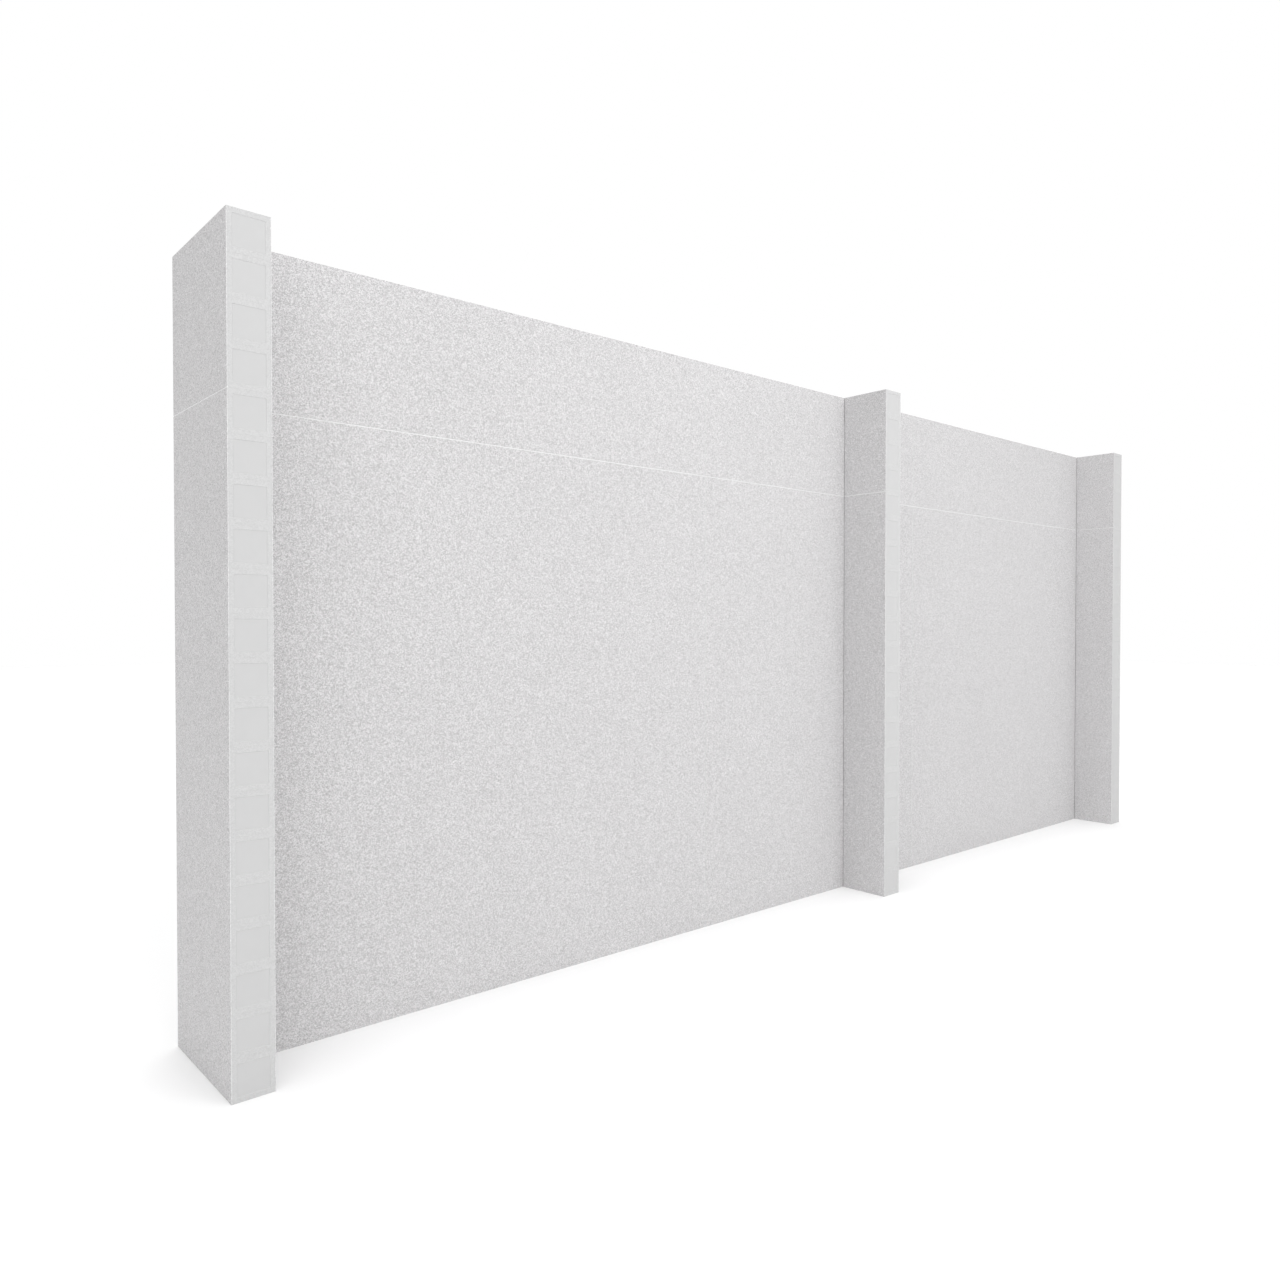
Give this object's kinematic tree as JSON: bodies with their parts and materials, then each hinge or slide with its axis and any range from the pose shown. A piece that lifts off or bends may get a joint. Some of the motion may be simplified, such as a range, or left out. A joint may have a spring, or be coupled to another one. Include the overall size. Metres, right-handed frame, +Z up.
{
  "type": "block barrier wall",
  "caption": "Free-standing straight barrier wall of interlocking pale concrete blocks, with pilasters, textured facing sheets and steel tie rods.",
  "frame": {"origin": "middle of the wall's footprint (bounding box), on the ground", "axes": "+X along the wall, the front with the deeper side of the pilasters faces -Y, +Z up"},
  "size_m": [7.1628, 0.6096, 3.048],
  "materials": {
    "block_concrete": "matte",
    "facing_concrete": "matte",
    "joint_filler": "matte",
    "zinc_steel": "satin"
  },
  "bodies": {
    "root": {"course_01_wall_blocks": "block_concrete", "course_01_pilaster_blocks": "block_concrete", "course_02_wall_blocks": "block_concrete", "course_02_pilaster_blocks": "block_concrete", "course_03_wall_blocks": "block_concrete", "course_03_pilaster_blocks": "block_concrete", "course_04_wall_blocks": "block_concrete", "course_04_pilaster_blocks": "block_concrete", "course_05_wall_blocks": "block_concrete", "course_05_pilaster_blocks": "block_concrete", "course_06_wall_blocks": "block_concrete", "course_06_pilaster_blocks": "block_concrete", "course_07_wall_blocks": "block_concrete", "course_07_pilaster_blocks": "block_concrete", "course_08_wall_blocks": "block_concrete", "course_08_pilaster_blocks": "block_concrete", "course_09_wall_blocks": "block_concrete", "course_09_pilaster_blocks": "block_concrete", "course_10_wall_blocks": "block_concrete", "course_10_pilaster_blocks": "block_concrete", "course_11_wall_blocks": "block_concrete", "course_11_pilaster_blocks": "block_concrete", "course_12_wall_blocks": "block_concrete", "course_12_pilaster_blocks": "block_concrete", "course_13_wall_blocks": "block_concrete", "course_13_pilaster_blocks": "block_concrete", "course_14_wall_blocks": "block_concrete", "course_14_pilaster_blocks": "block_concrete", "course_15_wall_blocks": "block_concrete", "course_15_pilaster_blocks": "block_concrete", "course_16_wall_blocks": "block_concrete", "course_16_pilaster_blocks": "block_concrete", "course_17_wall_blocks": "block_concrete", "course_17_pilaster_blocks": "block_concrete", "course_18_wall_blocks": "block_concrete", "course_18_pilaster_blocks": "block_concrete", "course_19_wall_blocks": "block_concrete", "course_19_pilaster_blocks": "block_concrete", "cap_course_wall_blocks": "block_concrete", "cap_course_pilaster_blocks": "block_concrete", "pilaster_1_outer_facing": "facing_concrete", "pilaster_1_inner_facing": "facing_concrete", "pilaster_2_left_facing": "facing_concrete", "pilaster_2_right_facing": "facing_concrete", "pilaster_3_inner_facing": "facing_concrete", "pilaster_3_outer_facing": "facing_concrete", "bay_1_front_facing": "facing_concrete", "bay_1_rear_facing": "facing_concrete", "bay_2_front_facing": "facing_concrete", "bay_2_rear_facing": "facing_concrete", "horizontal_joint_beads": "joint_filler", "vertical_joint_beads": "joint_filler", "pilaster_tie_rods": "zinc_steel", "bay_tie_rods": "zinc_steel", "tie_rod_coupling_nuts": "zinc_steel", "tie_rod_base_washers": "zinc_steel", "tie_rod_top_washers": "zinc_steel", "tie_rod_top_nuts": "zinc_steel"}
  },
  "joints": []
}
